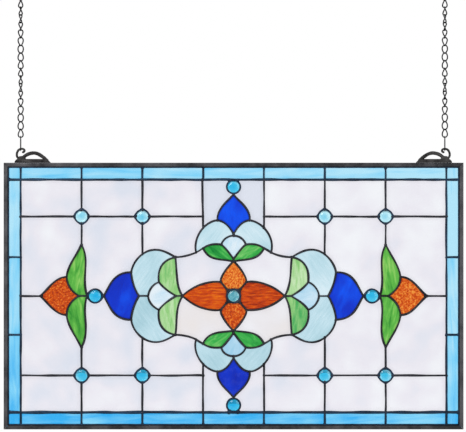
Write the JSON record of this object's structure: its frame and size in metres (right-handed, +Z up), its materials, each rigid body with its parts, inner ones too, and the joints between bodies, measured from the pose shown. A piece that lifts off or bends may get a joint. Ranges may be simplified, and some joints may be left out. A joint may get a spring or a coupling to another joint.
{
  "type": "stained glass panel",
  "caption": "Framed stained glass panel with a leaded flower pattern, round glass gems and a pale blue border, hung from two chains on cast hangers.",
  "frame": {"origin": "midway between the centres of the two end rings that the chains hang from", "axes": "+X to the viewer's right along the top rail, +Z up along the chains, and the front of the panel faces -Y"},
  "size_m": [0.8788, 0.016, 0.8549],
  "materials": {
    "frame_metal": "dark grey patina, satin",
    "lead": "black patina solder, slightly uneven",
    "cast_metal": "hammered dark grey",
    "chain_metal": "dark gunmetal plating",
    "border_blue_glass": "smooth pale sky blue",
    "clear_glass": "lightly rippled, nearly colourless",
    "orange_glass": "streaky and hammered orange",
    "green_glass": "streaky mid green",
    "light_green_glass": "streaky light green",
    "cobalt_glass": "smooth deep cobalt blue",
    "aqua_glass": "rippled pale aqua",
    "ice_glass": "very pale ice blue",
    "turquoise_glass": "clear turquoise domed gem"
  },
  "bodies": {
    "root": {"bead_bottom": "turquoise_glass", "bead_centre": "turquoise_glass", "bead_left": "turquoise_glass", "bead_lower_left_inner": "turquoise_glass", "bead_lower_left_outer": "turquoise_glass", "bead_lower_right_inner": "turquoise_glass", "bead_lower_right_outer": "turquoise_glass", "bead_right": "turquoise_glass", "bead_top": "turquoise_glass", "bead_upper_left_inner": "turquoise_glass", "bead_upper_left_outer": "turquoise_glass", "bead_upper_right_inner": "turquoise_glass", "bead_upper_right_outer": "turquoise_glass", "border_glass": "border_blue_glass", "chain_left": "chain_metal", "chain_right": "chain_metal", "clear_glass_left": "clear_glass", "clear_glass_right": "clear_glass", "end_ring_left": "chain_metal", "end_ring_right": "chain_metal", "flame_bottom": "cobalt_glass", "flame_top": "cobalt_glass", "flower_bottom": "orange_glass", "flower_left": "orange_glass", "flower_right": "orange_glass", "flower_top": "orange_glass", "frame": "frame_metal", "hanger_left": "cast_metal", "hanger_right": "cast_metal", "inner_leaf_lower_left": "light_green_glass", "inner_leaf_lower_right": "light_green_glass", "inner_leaf_upper_left": "light_green_glass", "inner_leaf_upper_right": "light_green_glass", "leading": "lead", "leaf_bottom_left": "green_glass", "leaf_bottom_right": "green_glass", "leaf_top_left": "green_glass", "leaf_top_right": "green_glass", "lens_bottom": "ice_glass", "lens_top": "ice_glass", "outer_leaf_lower_left": "green_glass", "outer_leaf_lower_right": "green_glass", "outer_leaf_upper_left": "green_glass", "outer_leaf_upper_right": "green_glass", "petal_bottom_left": "aqua_glass", "petal_bottom_right": "aqua_glass", "petal_top_left": "aqua_glass", "petal_top_right": "aqua_glass", "side_flame_left": "cobalt_glass", "side_flame_right": "cobalt_glass", "side_lens_left": "ice_glass", "side_lens_right": "ice_glass", "side_petal_lower_left": "aqua_glass", "side_petal_lower_right": "aqua_glass", "side_petal_upper_left": "aqua_glass", "side_petal_upper_right": "aqua_glass", "side_tip_left": "orange_glass", "side_tip_right": "orange_glass", "wire_loop_left": "chain_metal", "wire_loop_right": "chain_metal"}
  },
  "joints": []
}
